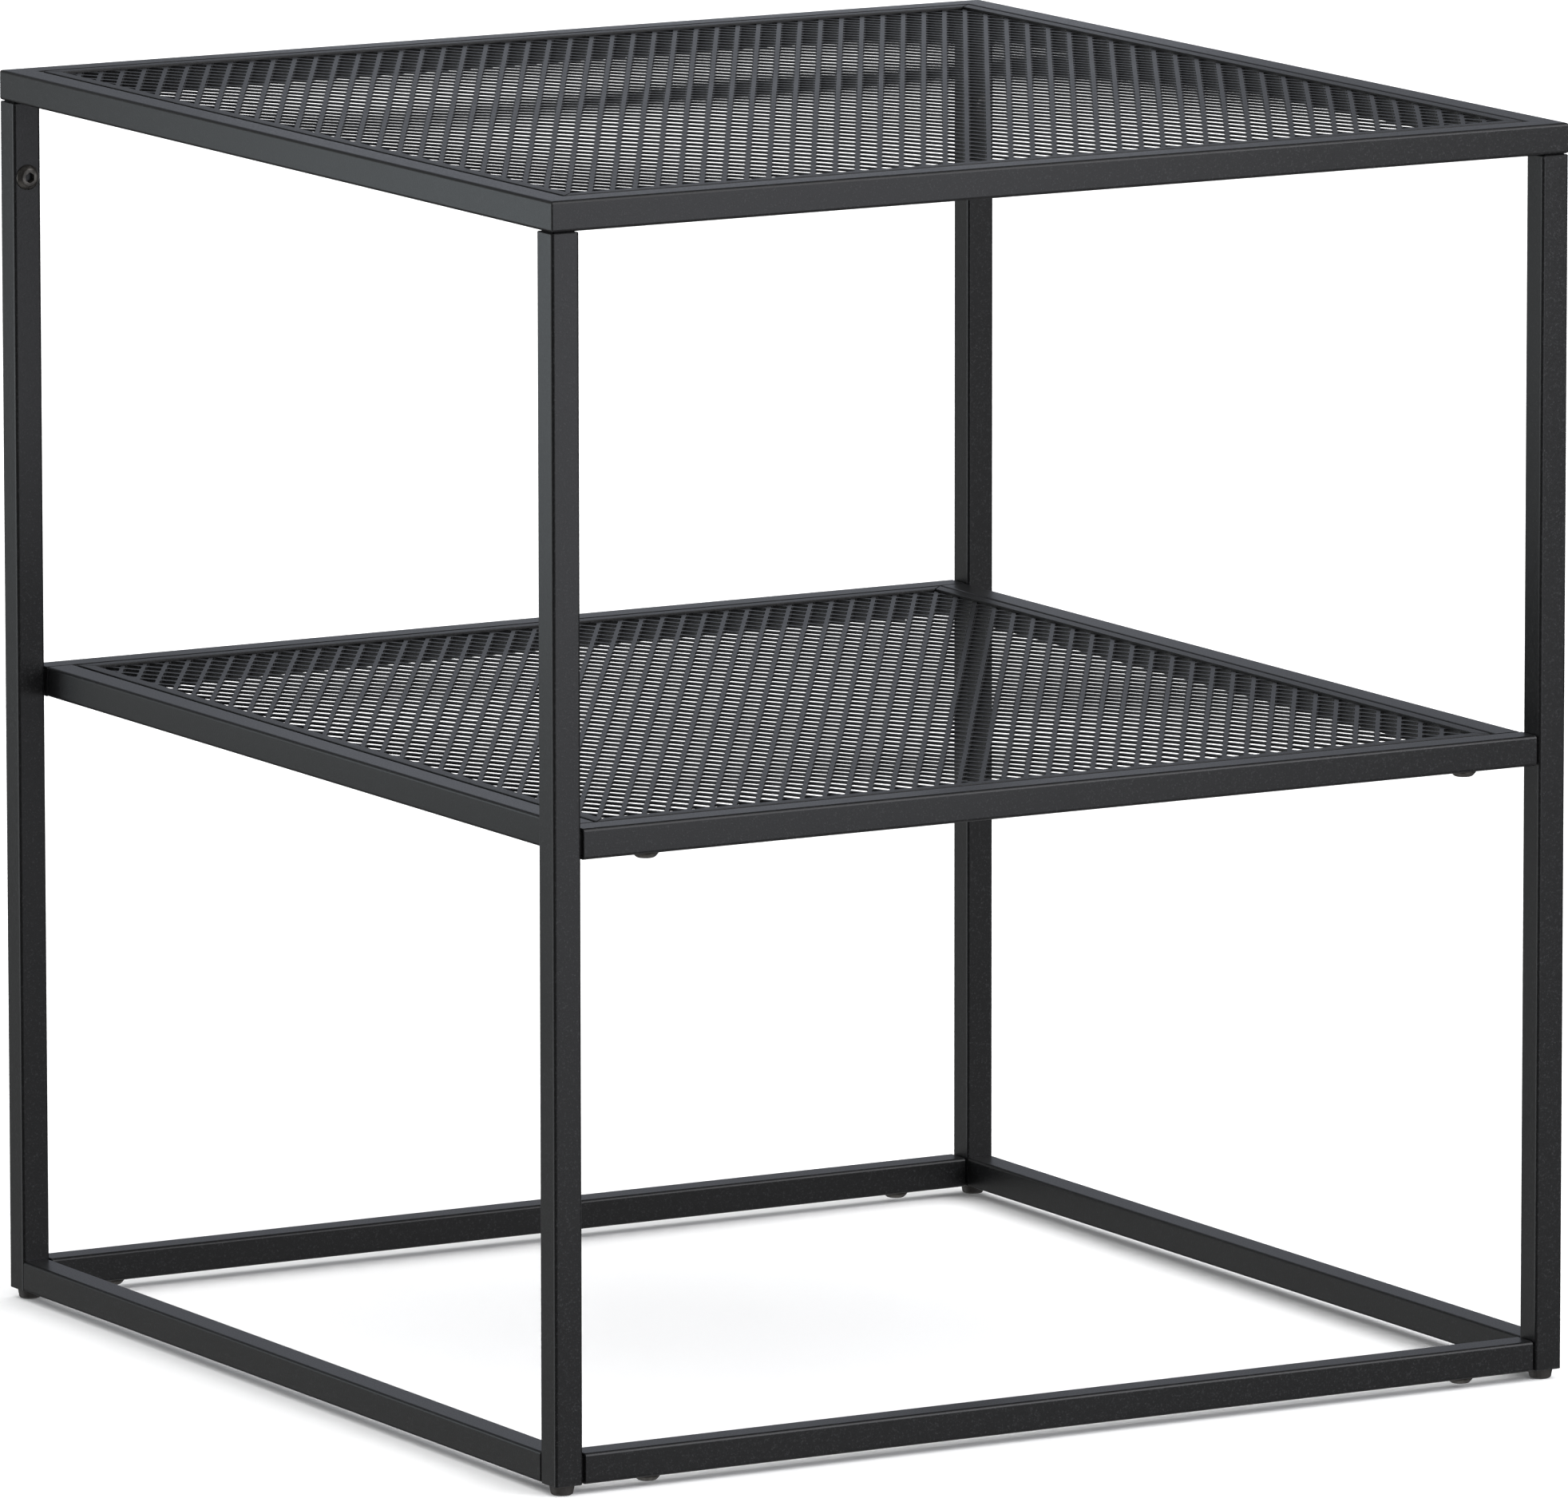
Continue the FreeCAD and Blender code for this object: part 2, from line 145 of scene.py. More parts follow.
# Broad glows in the mirrored room: direction of the middle, cosine of the angle from it where the glow
# ends and where it is full, strength, tint
GLOWS = (
    ((0.50, 0.86, 0.10), (0.72, 0.96), 0.34, (0.82, 0.87, 1)),
    ((-0.50, 0.86, 0.02), (0.76, 0.97), 0.27, (1, 1, 0.98)),
    ((0.50, -0.86, 0.10), (0.60, 0.96), 0.36, (0.98, 0.98, 1)),
    ((0.49, -0.66, 0.57), (0.82, 0.97), 2.60, (0.98, 0.98, 1)),
    ((-0.90, 0.40, -0.08), (0.88, 0.98), 2.40, (0.95, 0.98, 1)),
    ((0.0, 0.0, -1.0), (0.45, 0.95), 0.58, (1, 1, 1)),
    ((0.0, 0.0, 1.0), (0.50, 0.95), 0.08, (1, 1, 1)),
)

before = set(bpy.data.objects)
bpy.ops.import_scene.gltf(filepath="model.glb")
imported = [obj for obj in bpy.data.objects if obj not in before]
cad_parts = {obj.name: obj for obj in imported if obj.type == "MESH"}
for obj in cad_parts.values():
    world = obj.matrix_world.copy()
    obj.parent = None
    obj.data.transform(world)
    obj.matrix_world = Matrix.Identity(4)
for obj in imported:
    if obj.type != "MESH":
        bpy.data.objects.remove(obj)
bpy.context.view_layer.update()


# ---------------------------------------------------------------- mesh helpers

def add_object(name, data):
    item = bpy.data.objects.new(name, data)
    bpy.context.scene.collection.objects.link(item)
    return item


def add_piece(name, verts, faces, nodes, material, sharp=40):
    """A closed mesh piece that rides on the root and stands for CAD nodes."""
    mesh = bpy.data.meshes.new(name)
    mesh.from_pydata([tuple(v) for v in verts], [], faces)
    tidy = bmesh.new()
    tidy.from_mesh(mesh)
    bmesh.ops.recalc_face_normals(tidy, faces=tidy.faces)
    tidy.to_mesh(mesh)
    tidy.free()
    mesh.polygons.foreach_set("use_smooth", [True] * len(mesh.polygons))
    mesh.set_sharp_from_angle(angle=math.radians(sharp))
    mesh.materials.append(material)
    piece = add_object(name, mesh)
    normals = piece.modifiers.new("flat faces first", "WEIGHTED_NORMAL")
    normals.keep_sharp = True
    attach(piece, "root")
    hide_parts(*nodes)
    return piece


class Solids:
    """Collects the vertices and faces of one or more closed solids."""

    def __init__(self):
        self.verts, self.faces = [], []

    def loops(self, rings, closed=False):
        """Skins rings of equal length. An open run gets a cap at both ends."""
        first, size = len(self.verts), len(rings[0])
        for ring in rings:
            self.verts.extend(ring)
        count = len(rings)
        for k in range(count if closed else count - 1):
            low, high = first + k * size, first + (k + 1) % count * size
            for i in range(size):
                j = (i + 1) % size
                self.faces.append((low + i, low + j, high + j, high + i))
        if not closed:
            self.faces.append(tuple(range(first, first + size))[::-1])
            self.faces.append(tuple(range(first + (count - 1) * size, first + count * size)))


def rounded_square(half, radius, steps):
    """Outline of a square with rounded corners, anticlockwise, as (a, b) pairs."""
    points = []
    for corner in range(4):
        turn = math.pi / 2 * corner
        centre = Vector((half - radius, half - radius))
        for k in range(steps + 1):
            angle = math.pi / 2 * k / steps
            point = centre + radius * Vector((math.cos(angle), math.sin(angle)))
            points.append((point.x * math.cos(turn) - point.y * math.sin(turn),
                           point.x * math.sin(turn) + point.y * math.cos(turn)))
    return points


# ---------------------------------------------------------------- tubes

def long_axis(low, high):
    size = high - low
    return max(range(3), key=lambda k: size[k])


def straight_tube(name, node, material):
    """A sawn tube with softened ends, open at both, in its CAD node's box."""
    low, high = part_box(node)
    run = long_axis(low, high)
    across = [k for k in range(3) if k != run]
    middle = (low + high) / 2
    half = (high[across[0]] - low[across[0]]) / 2

    def ring(outline, place):
        points = []
        for a, b in outline:
            point = Vector((0, 0, 0))
            point[run] = place
            point[across[0]] = middle[across[0]] + a
            point[across[1]] = middle[across[1]] + b
            points.append(point)
        return points

    outside = rounded_square(half, TUBE_ROUND, TUBE_STEPS)
    softened = rounded_square(half - CUT_EDGE, TUBE_ROUND - CUT_EDGE, TUBE_STEPS)
    inside = rounded_square(half - TUBE_WALL, BORE_ROUND, TUBE_STEPS)
    start, end = low[run], high[run]
    solid = Solids()
    solid.loops([ring(softened, start), ring(outside, start + CUT_EDGE),
                 ring(outside, end - CUT_EDGE), ring(softened, end),
                 ring(inside, end), ring(inside, start)], closed=True)
    return add_piece(name, solid.verts, solid.faces, [node], material)


def mitred_tube(name, node, material):
    """A tube of the top frame. Its outer upright corners are ground round, with a weld seam in them."""
    low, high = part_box(node)
    run = long_axis(low, high)
    out = 1 - run
    side = 1 if low[out] > 0 else -1
    size = high[2] - low[2]
    half, height = size / 2, (low[2] + high[2]) / 2
    far = high[run]
    outer_face = side * (high[out] if side > 0 else low[out])

    def ring(outline, end, back, reach):
        """One ring at an end: back is its distance from the mitre, reach how far out it may come."""
        points = []
        for a, b in outline:
            outward = min(a + half, reach)
            point = Vector((0, 0, height + b))
            point[out] = side * (outer_face - size + outward)
            point[run] = end * (far - size + outward - back)
            points.append(point)
        return points

    outside = rounded_square(half, TUBE_ROUND, TUBE_STEPS)
    inside = rounded_square(half - TUBE_WALL, BORE_ROUND, TUBE_STEPS)
    eighth = math.pi / 4
    tip = size - CORNER_ROUND * (1 - math.cos(eighth))

    def end_rings(end):
        """From the tube's outer face round the ground corner, and into the seam at the mitre."""
        rings = []
        for k in range(CORNER_STEPS):
            angle = eighth * k / CORNER_STEPS
            back = CORNER_ROUND * (math.sin(eighth) - math.sin(angle))
            back += CORNER_ROUND * (math.cos(angle) - math.cos(eighth))
            rings.append(ring(outside, end, back, size - CORNER_ROUND * (1 - math.cos(angle))))
        rings.append(ring(outside, end, SEAM_WIDE, tip))
        rings.append(ring(outside, end, 0, tip - SEAM_DEEP))
        return rings

    start, finish = end_rings(-1), end_rings(1)
    solid = Solids()
    solid.loops(start[::-1] + finish + [ring(inside, 1, 0, size), ring(inside, -1, 0, size)],
                closed=True)
    return add_piece(name, solid.verts, solid.faces, [node], material)


def mitred_strip(name, node, material):
    """A flat border strip with softened edges and mitred ends."""
    low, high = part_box(node)
    run = long_axis(low, high)
    out = 1 - run
    side = 1 if low[out] > 0 else -1
    wide, far = high[out] - low[out], high[run]
    outer = side * (high[out] if side > 0 else low[out])

    def ring(inset, level):
        points = []
        for end, outward in ((1, wide - inset), (1, inset), (-1, inset), (-1, wide - inset)):
            point = Vector((0, 0, level))
            point[out] = side * (outer - wide + outward)
            point[run] = end * (far - wide + outward - inset)
            points.append(point)
        return points

    bend = STRIP_EDGE * STRIP_BEND
    solid = Solids()
    solid.loops([ring(0, low[2]), ring(0, high[2] - STRIP_EDGE),
                 ring(bend, high[2] - bend), ring(STRIP_EDGE, high[2])])
    return add_piece(name, solid.verts, solid.faces, [node], material)


# ---------------------------------------------------------------- expanded metal

def diamond_cell():
    """Outlines of one diamond: the cell's 12 points and the hole's 12, both anticlockwise."""
    half_x, half_y = MESH_PITCH / 2, MESH_RISE / 2
    tips = [Vector((half_x, 0)), Vector((0, half_y)), Vector((-half_x, 0)), Vector((0, -half_y))]
    inner = half_x * half_y / math.hypot(half_x, half_y)
    shrink = (inner - STRAND_WIDE / 2) / inner
    cell, hole = [], []
    for k, tip in enumerate(tips):
        before, after = tips[k - 1], tips[(k + 1) % 4]
        cell.append(tip.lerp(before, KNOT_SHARE))
        cell.append(tip)
        cell.append(tip.lerp(after, KNOT_SHARE))
        sharp = k % 2 == 1
        radius = TIP_ROUND if sharp else SIDE_ROUND
        half_angle = (tip - before).angle(tip - after) / 2
        corner = tip * shrink
        centre = corner - tip.normalized() * radius / math.sin(half_angle)
        sweep = math.pi / 2 - half_angle
        facing = math.atan2(tip.y, tip.x)
        steps = TIP_STEPS if sharp else SIDE_STEPS
        for step in range(steps + 1):
            angle = facing - sweep + 2 * sweep * step / steps
            hole.append(centre + radius * Vector((math.cos(angle), math.sin(angle))))
    return cell, hole


def cell_faces():
    """Faces between the cell's outline (0 to 11) and the hole's (12 to 23)."""
    faces = []
    for c in (0, 6):
        h, next_c = c + 12, (c + 6) % 12
        faces += [(c, c + 1, h), (c + 1, h + 1, h), (c + 1, c + 2, h + 1)]
        faces += [(c + 2, c + 3, h + 2, h + 1)]
        faces += [(c + 3, c + 4, h + 3, h + 2), (c + 4, h + 4, h + 3), (c + 4, c + 5, h + 5, h + 4)]
        faces += [(c + 5, next_c, next_c + 12, h + 5)]
    return faces


def flat_lattice(half_x, half_y, hole_at, turn):
    """A flat diamond sheet, cut a little askew and trimmed to a rectangle, as a bmesh."""
    cell, hole = diamond_cell()
    pattern = np.array([tuple(p) for p in cell + hole])
    columns = int(half_x / MESH_PITCH) + 3
    rows = int(half_y / MESH_RISE) + 3
    centres = [((i + odd / 2) * MESH_PITCH, (j + odd / 2) * MESH_RISE)
               for i in range(-columns, columns + 1) for j in range(-rows, rows + 1)
               for odd in (0, 1)]
    points = (np.array(centres)[:, None, :] + pattern[None]).reshape(-1, 2)
    keys, index = np.unique(np.round(points / WELD_WITHIN).astype(np.int64), axis=0,
                            return_inverse=True)
    index = index.reshape(-1)
    cosine, sine = math.cos(math.radians(turn)), math.sin(math.radians(turn))
    flat = keys * WELD_WITHIN @ np.array([(cosine, sine), (-sine, cosine)]) + np.array(hole_at)
    faces = [tuple(index[len(pattern) * k + v] for v in face)
             for k in range(len(centres)) for face in cell_faces()]
    mesh = bpy.data.meshes.new("lattice")
    mesh.from_pydata([(x, y, 0) for x, y in flat], [], faces)
    sheet = bmesh.new()
    sheet.from_mesh(mesh)
    bpy.data.meshes.remove(mesh)
    for normal, reach in (((1, 0, 0), half_x), ((-1, 0, 0), half_x),
                          ((0, 1, 0), half_y), ((0, -1, 0), half_y)):
        geometry = sheet.verts[:] + sheet.edges[:] + sheet.faces[:]
        bmesh.ops.bisect_plane(sheet, geom=geometry, dist=TRIM_WITHIN, plane_no=normal,
                               plane_co=Vector(normal) * reach, clear_outer=True)
    return sheet


def warp(x, y, half_x, half_y, swells):
    """How far the sheet stands out of flat at a place. Its edges stay put on the frame."""
    rise = 0.0
    for place_x, place_y, wide_x, wide_y, height in swells:
        rise += height * math.exp(-((x - place_x) / wide_x) ** 2 - ((y - place_y) / wide_y) ** 2)
    return rise * (1 - (x / half_x) ** 4) * (1 - (y / half_y) ** 4)


def expanded_sheet(kind, material):
    """A diamond sheet in one piece, slightly out of flat, in place of the CAD's strand layers."""
    node, lay = kind + "_mesh", SHEETS[kind]
    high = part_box(node)[1]
    hole_at = [v * MM for v in lay["hole_at"]]
    swells = [[v * MM for v in swell] for swell in lay["swells"]]
    flat = flat_lattice(high.x, high.y, hole_at, lay["turn"])
    flat.verts.index_update()
    top = []
    for vert in flat.verts:
        rise = warp(vert.co.x, vert.co.y, high.x, high.y, swells)
        top.append(Vector((vert.co.x, vert.co.y, high.z + rise)))
    count = len(top)
    verts = top + [point - Vector((0, 0, lay["thick"])) for point in top]
    faces = [tuple(v.index for v in face.verts) for face in flat.faces]
    faces += [tuple(count + i for i in face)[::-1] for face in faces]
    for edge in flat.edges:
        if len(edge.link_faces) == 1:
            loop = edge.link_loops[0]
            a, b = loop.vert.index, loop.link_loop_next.vert.index
            faces.append((b, a, count + a, count + b))
    flat.free()
    return add_piece(kind + "_sheet", verts, faces, [node], material)


# ---------------------------------------------------------------- screws, glides and welds

def circle(radius, level):
    angles = [2 * math.pi * k / ROUND_STEPS for k in range(ROUND_STEPS)]
    return [Vector((radius * math.cos(angle), radius * math.sin(angle), level)) for angle in angles]


def hexagon(flats, level):
    """A hexagon with as many points as a circle, so that the two can be skinned together."""
    points = []
    for k in range(ROUND_STEPS):
        angle = 2 * math.pi * k / ROUND_STEPS
        off = (angle + math.pi / 6) % (math.pi / 3) - math.pi / 6
        radius = flats / 2 / math.cos(off)
        points.append(Vector((radius * math.cos(angle), radius * math.sin(angle), level)))
    return points


def button_head(place):
    """Rings of a button-head screw: domed head along +Z from its seat, socket and shank stub."""
    rings = [circle(SHANK_RADIUS, -SHANK_LONG), circle(SHANK_RADIUS, 0),
             circle(HEAD_RADIUS - HEAD_SOFT, 0), circle(HEAD_RADIUS, HEAD_SOFT)]
    # The dome is part of a ball whose centre lies below the seat
    sink = HEAD_RADIUS ** 2 + HEAD_RIM ** 2 - HEAD_FACE ** 2 - HEAD_HIGH ** 2
    sink /= 2 * (HEAD_HIGH - HEAD_RIM)
    ball = math.hypot(HEAD_FACE, HEAD_HIGH + sink)
    for k in range(DOME_STEPS + 1):
        level = HEAD_RIM + (HEAD_HIGH - HEAD_SOFT - HEAD_RIM) * k / DOME_STEPS
        rings.append(circle(math.sqrt(ball ** 2 - (level + sink) ** 2), level))
    bottom = HEAD_HIGH - SOCKET_DEEP
    rings += [circle(HEAD_FACE - FACE_SOFT, HEAD_HIGH),
              hexagon(SOCKET_FLATS + SOCKET_FLARE, HEAD_HIGH),
              hexagon(SOCKET_FLATS, HEAD_HIGH - SOCKET_EDGE), hexagon(SOCKET_FLATS, bottom),
              circle(SOCKET_FLATS * SOCKET_TIP, bottom - SOCKET_POINT)]
    return [[place @ point for point in ring] for ring in rings]


def screw_set(name, node, places, material):
    solid = Solids()
    for place in places:
        solid.loops(button_head(place))
    return add_piece(name, solid.verts, solid.faces, [node], material, sharp=35)


def leg_screw_places():
    """Seats on the legs' inner faces: the heads stand out towards the table's middle."""
    low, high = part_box("leg_screws")
    level = (low.z + high.z) / 2
    places = []
    for corner in CORNERS:
        leg_low, leg_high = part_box("leg_" + corner)
        back = leg_low.y > 0
        seat = Vector(((leg_low.x + leg_high.x) / 2, leg_low.y if back else leg_high.y, level))
        turn = Matrix.Rotation(math.pi / 2 if back else -math.pi / 2, 4, "X")
        places.append(Matrix.Translation(seat) @ turn)
    return places


def under_screw_places(kind):
    """Seats under the front and back rails: the heads hang down."""
    screws_low, screws_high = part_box(kind + "_screws")
    places = []
    for side in ("front", "back"):
        low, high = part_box(f"{kind}_rail_{side}")
        middle = (low.y + high.y) / 2
        reach = min(middle - screws_low.y, screws_high.y - middle)    # a head's radius in the design
        for x in (screws_low.x + reach, screws_high.x - reach):
            seat = Vector((x, middle, low.z))
            places.append(Matrix.Translation(seat) @ Matrix.Rotation(math.pi, 4, "X"))
    return places


def glide(name, node, material):
    """A push-in glide: a tapered pad with a rounded lower edge, under a square plug."""
    low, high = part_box(node)
    leg_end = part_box(node.replace("foot", "leg"))[0].z
    pad, wide = leg_end - low.z, (high.x - low.x) / 2
    middle = Vector(((low.x + high.x) / 2, (low.y + high.y) / 2, 0))
    tip, rounding = wide * GLIDE_TIP, pad * GLIDE_ROUND
    rings = [circle(tip * GLIDE_EYE, 0)]
    for k in range(GLIDE_STEPS + 1):
        angle = math.pi / 2 * k / GLIDE_STEPS
        rings.append(circle(tip - rounding + rounding * math.sin(angle),
                            rounding * (1 - math.cos(angle))))
    inwards, down = GLIDE_BEVEL
    rings += [circle(wide - inwards, pad - down), circle(wide, pad - GLIDE_SHOULDER),
              circle(wide, pad)]
    seat = middle + Vector((0, 0, low.z))
    solid = Solids()
    solid.loops([[seat + point for point in ring] for ring in rings])
    inwards, along = PLUG_LEAD
    plug = []
    for shrink, level in ((0, leg_end - PLUG_OVERLAP), (0, high.z - along), (inwards, high.z)):
        outline = rounded_square(PLUG_HALF - shrink, PLUG_ROUND, PLUG_ROUND_STEPS)
        plug.append([middle + Vector((a, b, level)) for a, b in outline])
    solid.loops(plug)
    return add_piece(name, solid.verts, solid.faces, [node], material)


def weld_beads(kind, material):
    """Short welds under a mesh, in the corners with its frame, rippled and tapered at their ends."""
    node = kind + "_tack_welds"
    low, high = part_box(node)
    sheet_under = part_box(kind + "_mesh")[1].z - SHEETS[kind]["thick"]
    solid = Solids()
    for side in SIDES:
        out = 0 if side in ("left", "right") else 1
        sign = 1 if side in ("right", "back") else -1
        wall = high[out] if sign > 0 else low[out]
        for centre in (-BEAD_OFFSET, BEAD_OFFSET):
            solid.loops(bead_rings(out, sign, wall, centre, sheet_under))
    return add_piece(kind + "_weld_beads", solid.verts, solid.faces, [node], material,
                     sharp=60)


def bead_rings(out, sign, wall, centre, level):
    """Rings along one weld: each is a quarter circle in the corner of the wall and the sheet."""
    rings = []
    for k in range(BEAD_STEPS + 1):
        share = k / BEAD_STEPS
        along = centre + (share - 0.5) * BEAD_LONG
        taper = math.sin(math.pi * min(max(share, BEAD_END), 1 - BEAD_END)) ** BEAD_TAPER
        ripple = BEAD_RIPPLE * math.sin(2 * math.pi * BEAD_RIPPLES * share)
        spot = Vector([v * grain for v, grain in zip((along, wall, level), BEAD_GRAIN)])
        radius = BEAD_RADIUS * taper * (1 + ripple + BEAD_UNEVEN * noise.noise(spot))
        corner = Vector((0, 0, level))
        corner[out], corner[1 - out] = wall, along
        ring = [corner]
        for step in range(BEAD_ROUND_STEPS + 1):
            angle = math.pi / 2 * step / BEAD_ROUND_STEPS
            point = corner.copy()
            point[out] -= sign * radius * math.cos(angle)
            point.z -= radius * math.sin(angle)
            ring.append(point)
        rings.append(ring)
    return rings


# ---------------------------------------------------------------- materials

def add_node(tree, kind, inputs=None, **settings):
    """A node with its settings made, and each of its inputs linked to a socket or set to a value."""
    node = tree.nodes.new(kind)
    for key, value in settings.items():
        setattr(node, key, value)
    for key, value in (inputs or {}).items():
        if isinstance(value, bpy.types.NodeSocket):
            tree.links.new(value, node.inputs[key])
        else:
            node.inputs[key].default_value = value
    return node


class Shader:
    """A material with a Principled shader, and short calls for adding nodes."""

    def __init__(self, name, **sockets):
        self.material = bpy.data.materials.new(name)
        self.material.use_nodes = True
        self.tree = self.material.node_tree
        self.surface = self.tree.nodes["Principled BSDF"]
        for socket, value in sockets.items():
            self.surface.inputs[socket.replace("_", " ")].default_value = value
        self.place = self.node("ShaderNodeTexCoord").outputs["Object"]

    def node(self, kind, inputs=None, **settings):
        return add_node(self.tree, kind, inputs, **settings)

    def noise(self, scale, detail=2.0, roughness=0.5, place=None):
        node = self.node("ShaderNodeTexNoise", {"Vector": place or self.place, "Scale": scale,
                                                "Detail": detail, "Roughness": roughness})
        return node.outputs["Fac"]

    def remap(self, value, low, high, new_low, new_high):
        node = self.node("ShaderNodeMapRange", {"Value": value, "From Min": low, "From Max": high,
                                                "To Min": new_low, "To Max": new_high})
        return node.outputs["Result"]

    def mix(self, share, first, second):
        """Sockets 6 and 7 are the two colours, and output 2 is the mixed one."""
        node = self.node("ShaderNodeMix", {0: share, 6: first, 7: second}, data_type="RGBA")
        return node.outputs[2]

    def bump(self, height, strength, distance, normal=None):
        inputs = {"Height": height, "Strength": strength, "Distance": distance}
        if normal is not None:
            inputs["Normal"] = normal
        return self.node("ShaderNodeBump", inputs).outputs["Normal"]

    def feed(self, socket, value):
        self.tree.links.new(value, self.surface.inputs[socket])


def powder_coat(name, tone, gloss, grain=1.0):
    """Fine-textured matt powder coat: orange peel with pale flecks, and slow changes of tone."""
    red, green, blue = tone
    darker = (red * 0.94, green * 0.94, blue * 0.95, 1)
    lighter = (red * 1.06, green * 1.06, blue * 1.05, 1)
    pale = (red * 5, green * 5, blue * 5, 1)
    shader = Shader(name, Specular_IOR_Level=0.30)
    slow = shader.remap(shader.noise(7.0), 0.35, 0.65, 0.0, 1.0)
    grit = shader.noise(1500.0, detail=1.5, roughness=0.6)
    fleck = shader.remap(grit, 0.58, 0.74, 0.0, 0.8)
    shader.feed("Base Color", shader.mix(fleck, shader.mix(slow, darker, lighter), pale))
    shader.feed("Roughness", shader.remap(shader.noise(1500.0), 0.3, 0.7, gloss - 0.05, gloss + 0.05))
    peel = shader.bump(grit, 0.55 * grain, 0.05 * MM)
    ripple = shader.noise(300.0, detail=1.0)
    shader.feed("Normal", shader.bump(ripple, 0.025 * grain, 0.10 * MM, peel))
    return shader.material


def screw_steel(name):
    """Black zinc-plated steel, satin, a little cloudy and finely pitted."""
    shader = Shader(name, Metallic=0.85, Specular_IOR_Level=0.5)
    cloud = shader.remap(shader.noise(420.0, detail=3.0), 0.35, 0.7, 0.0, 1.0)
    shader.feed("Base Color", shader.mix(cloud, (0.050, 0.047, 0.043, 1), (0.110, 0.104, 0.096, 1)))
    shader.feed("Roughness", shader.remap(shader.noise(900.0), 0.3, 0.7, 0.30, 0.44))
    shader.feed("Normal", shader.bump(shader.noise(2200.0), 0.12, 0.03 * MM))
    return shader.material


def spigot_steel(name):
    """Drawn bar with fine streaks, kept near-black as painted shade for the narrow gap between a leg and
    the top frame, where it shows.
    """
    shader = Shader(name, Specular_IOR_Level=0.08)
    stretched = shader.node("ShaderNodeMapping", {"Vector": shader.place, "Scale": (1, 12, 12)})
    streaks = shader.noise(160.0, 3.0, 0.6, stretched.outputs["Vector"])
    # Near-black base colours: painted shade of the narrow gap under the top frame
    shader.feed("Base Color", shader.mix(streaks, (0.0020, 0.0020, 0.0022, 1),
                                         (0.0045, 0.0045, 0.0048, 1)))
    shader.feed("Roughness", shader.remap(streaks, 0.3, 0.7, 0.50, 0.68))
    shader.feed("Normal", shader.bump(streaks, 0.15, 0.05 * MM))
    return shader.material


def foot_plastic(name):
    """Moulded polyethylene, warm black, with a fine spark-eroded grain."""
    shader = Shader(name, Specular_IOR_Level=0.45)
    cloud = shader.noise(260.0)
    shader.feed("Base Color", shader.mix(cloud, (0.016, 0.014, 0.013, 1), (0.032, 0.028, 0.025, 1)))
    shader.feed("Roughness", shader.remap(shader.noise(800.0), 0.3, 0.7, 0.42, 0.58))
    shader.feed("Normal", shader.bump(shader.noise(2400.0, detail=1.0), 0.25, 0.04 * MM))
    return shader.material


# ---------------------------------------------------------------- stage, light and camera

def floor():
    """A plain pale floor, far wider than the table."""
    mesh = bpy.data.meshes.new("floor")
    corners = [(x * FLOOR_REACH, y * FLOOR_REACH, 0) for x, y in ((-1, -1), (1, -1), (1, 1), (-1, 1))]
    mesh.from_pydata(corners, [], [(0, 1, 2, 3)])
    shader = Shader("pale_floor", Base_Color=FLOOR_TONE, Roughness=0.9, Specular_IOR_Level=0.0)
    mesh.materials.append(shader.material)
    piece = add_object("floor", mesh)
    piece.visible_glossy = False


def camera():
    data = bpy.data.cameras.new("camera")
    data.sensor_width = SENSOR_WIDE
    data.lens = CAMERA_LENS
    data.clip_end = SIGHT
    item = add_object("camera", data)
    turn = Matrix.Rotation(math.radians(-CAMERA_YAW), 4, "Z")
    tilt = Matrix.Rotation(math.radians(90 - CAMERA_PITCH), 4, "X")
    roll = Matrix.Rotation(math.radians(CAMERA_ROLL), 4, "Z")
    item.matrix_world = Matrix.Translation(CAMERA_PLACE) @ turn @ tilt @ roll
    bpy.context.scene.camera = item


def softbox(name, place, facing, size, power, tint):
    """An upright area light that faces along a level direction."""
    data = bpy.data.lights.new(name, "AREA")
    data.shape = "RECTANGLE"
    data.size, data.size_y = size
    data.energy = power
    data.color = tint
    item = add_object(name, data)
    item.location = place
    item.rotation_euler = Vector(facing).to_track_quat("-Z", "Y").to_euler()
    item.visible_camera = False


def fill(name, power, shadow):
    """Broad light from straight above, which nothing mirrors."""
    data = bpy.data.lights.new(name, "SUN")
    data.angle = math.radians(FILL_ANGLE)
    data.energy = power
    data.use_shadow = shadow
    add_object(name, data).visible_glossy = False


def lights():
    for row in SOFTBOXES:
        softbox(*row)
    fill("fill", FILL_LIGHT * FILL_SHADED, True)
    fill("even_fill", FILL_LIGHT * (1 - FILL_SHADED), False)


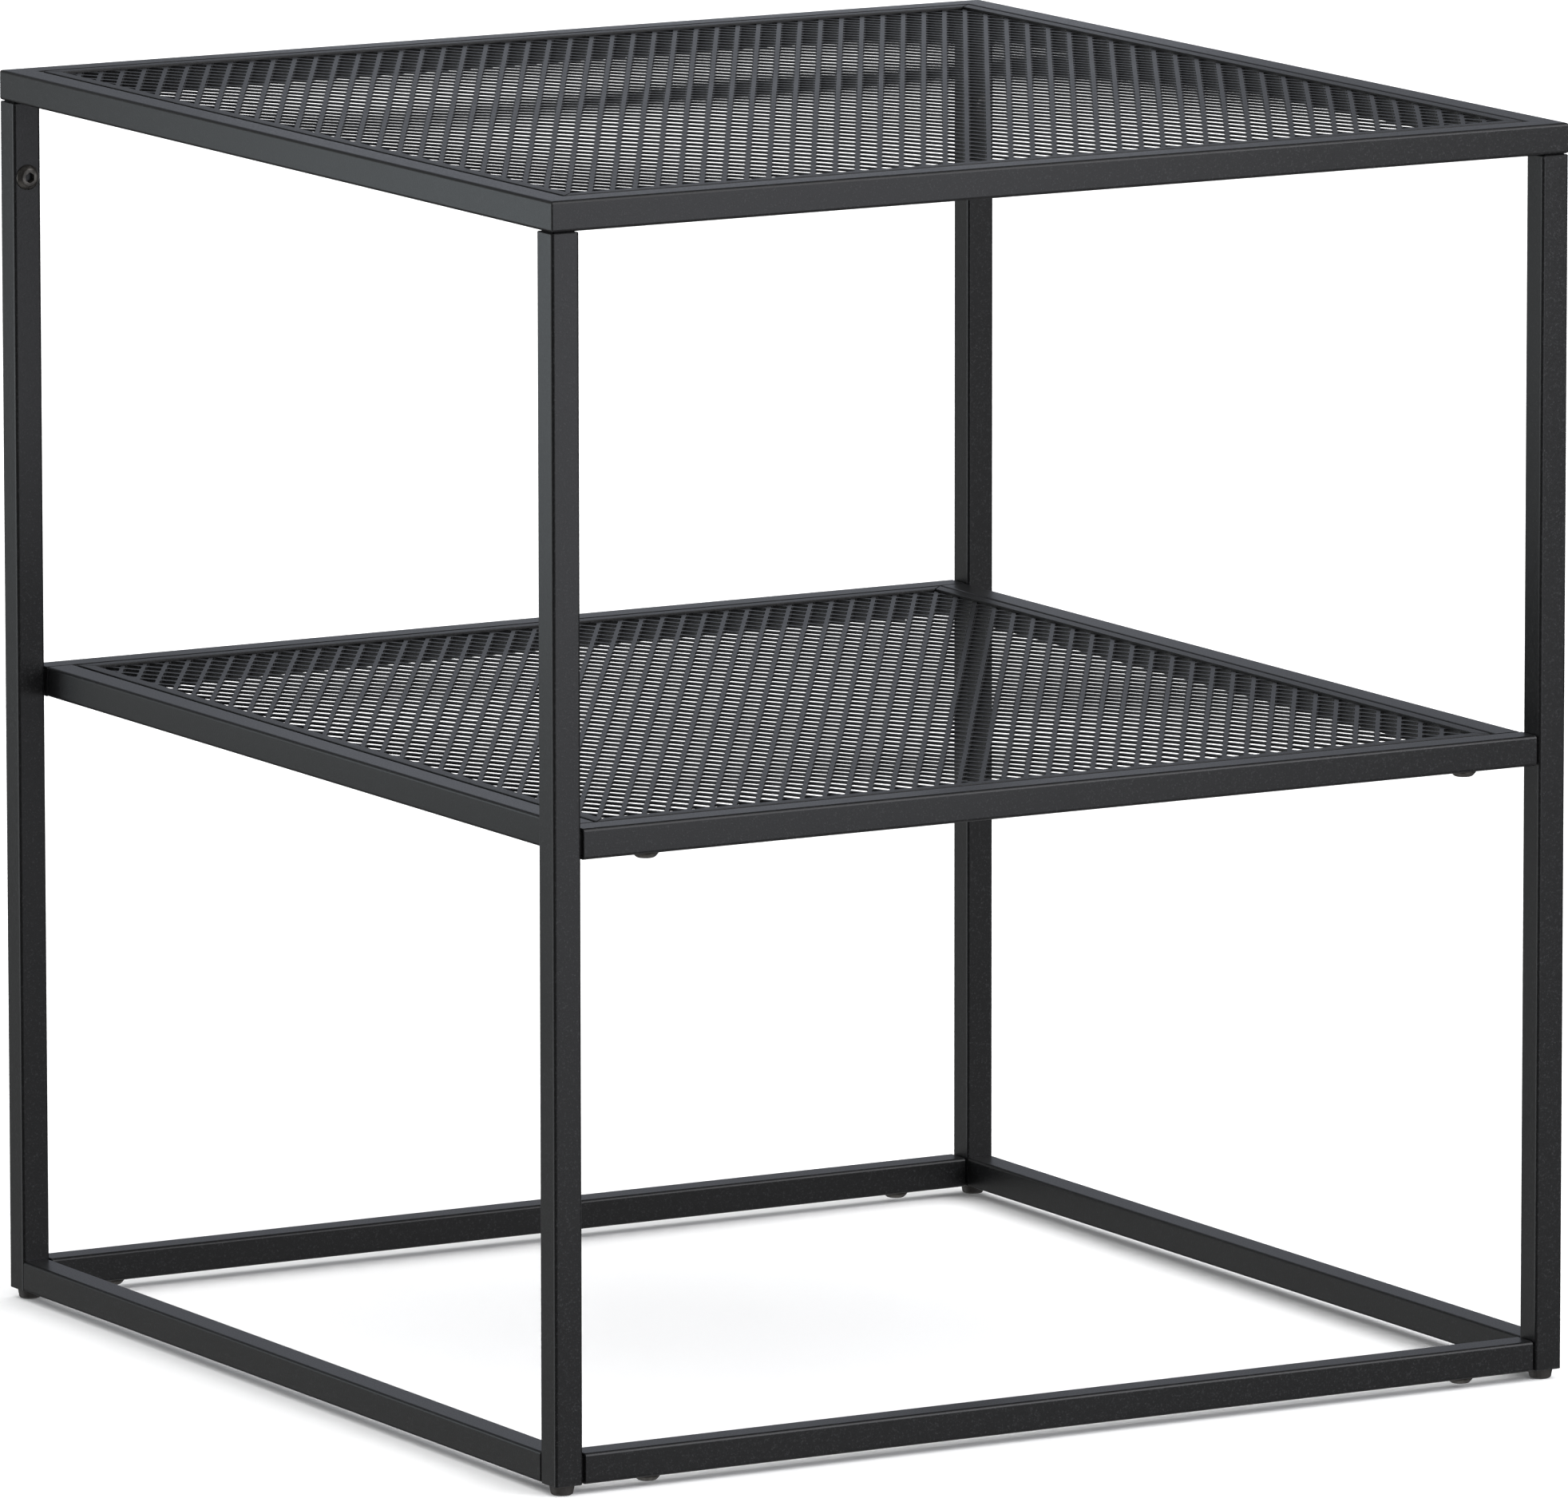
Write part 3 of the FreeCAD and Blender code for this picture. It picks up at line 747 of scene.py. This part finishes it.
def studio():
    """The camera sees white behind the table. The table is lit by a dim room with a few broad glows."""
    world = bpy.data.worlds.new("studio")
    bpy.context.scene.world = world
    world.use_nodes = True
    tree = world.node_tree
    seen = tree.nodes["Background"]
    seen.inputs["Color"].default_value = (1, 1, 1, 1)
    seen.inputs["Strength"].default_value = 1.0
    way = add_node(tree, "ShaderNodeTexCoord").outputs["Generated"]
    room = add_node(tree, "ShaderNodeBackground", {"Color": (1, 1, 1, 1), "Strength": ROOM_LIGHT})
    total = room.outputs[0]
    for middle, (edge, full), strength, tint in GLOWS:
        toward = add_node(tree, "ShaderNodeVectorMath", {0: way, 1: Vector(middle).normalized()},
                          operation="DOT_PRODUCT")
        level = add_node(tree, "ShaderNodeMapRange",
                         {"Value": toward.outputs["Value"], "From Min": edge, "From Max": full,
                          "To Min": 0.0, "To Max": strength}, interpolation_type="SMOOTHSTEP")
        glow = add_node(tree, "ShaderNodeBackground",
                        {"Color": (*tint, 1), "Strength": level.outputs["Result"]})
        total = add_node(tree, "ShaderNodeAddShader", {0: total, 1: glow.outputs[0]}).outputs[0]
    direct = add_node(tree, "ShaderNodeLightPath").outputs["Is Camera Ray"]
    both = add_node(tree, "ShaderNodeMixShader", {0: direct, 1: total, 2: seen.outputs[0]})
    tree.links.new(both.outputs[0], tree.nodes["World Output"].inputs["Surface"])


# ---------------------------------------------------------------- the table

def table():
    black = powder_coat("powder_coat_frame", (0.0050, 0.0051, 0.0054), 0.35)
    black_strip = powder_coat("powder_coat_strip", (0.0048, 0.0049, 0.0052), 0.41)
    black_mesh = powder_coat("powder_coat_mesh", (0.0048, 0.0049, 0.0053), 0.40, grain=0.7)
    black_weld = powder_coat("powder_coat_weld", (0.0046, 0.0046, 0.0050), 0.40, grain=1.5)
    for side in SIDES:
        mitred_tube("top_tube_" + side, "top_rail_" + side, black)
        straight_tube("shelf_tube_" + side, "shelf_rail_" + side, black)
        straight_tube("bottom_tube_" + side, "bottom_rail_" + side, black)
        for kind in SHEETS:
            mitred_strip(f"{kind}_border_{side}", f"{kind}_strip_{side}", black_strip)
    plastic = foot_plastic("foot_plastic")
    for corner in CORNERS:
        straight_tube("leg_tube_" + corner, "leg_" + corner, black)
        glide("glide_" + corner, "foot_" + corner, plastic)
    for kind in SHEETS:
        expanded_sheet(kind, black_mesh)
    steel = screw_steel("screw_steel")
    screw_set("leg_screw_heads", "leg_screws", leg_screw_places(), steel)
    for kind in ("shelf", "bottom"):
        screw_set(kind + "_screw_heads", kind + "_screws", under_screw_places(kind), steel)
    for kind in SHEETS:
        weld_beads(kind, black_weld)
    # The spigots' near-black colour is painted shade for the gap under the top frame where they show
    bar = spigot_steel("spigot_steel")
    for name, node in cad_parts.items():
        if "spigot" in name:
            node.data.materials.clear()
            node.data.materials.append(bar)


camera()
floor()
studio()
lights()
bpy.context.scene.view_settings.view_transform = "Standard"
table()
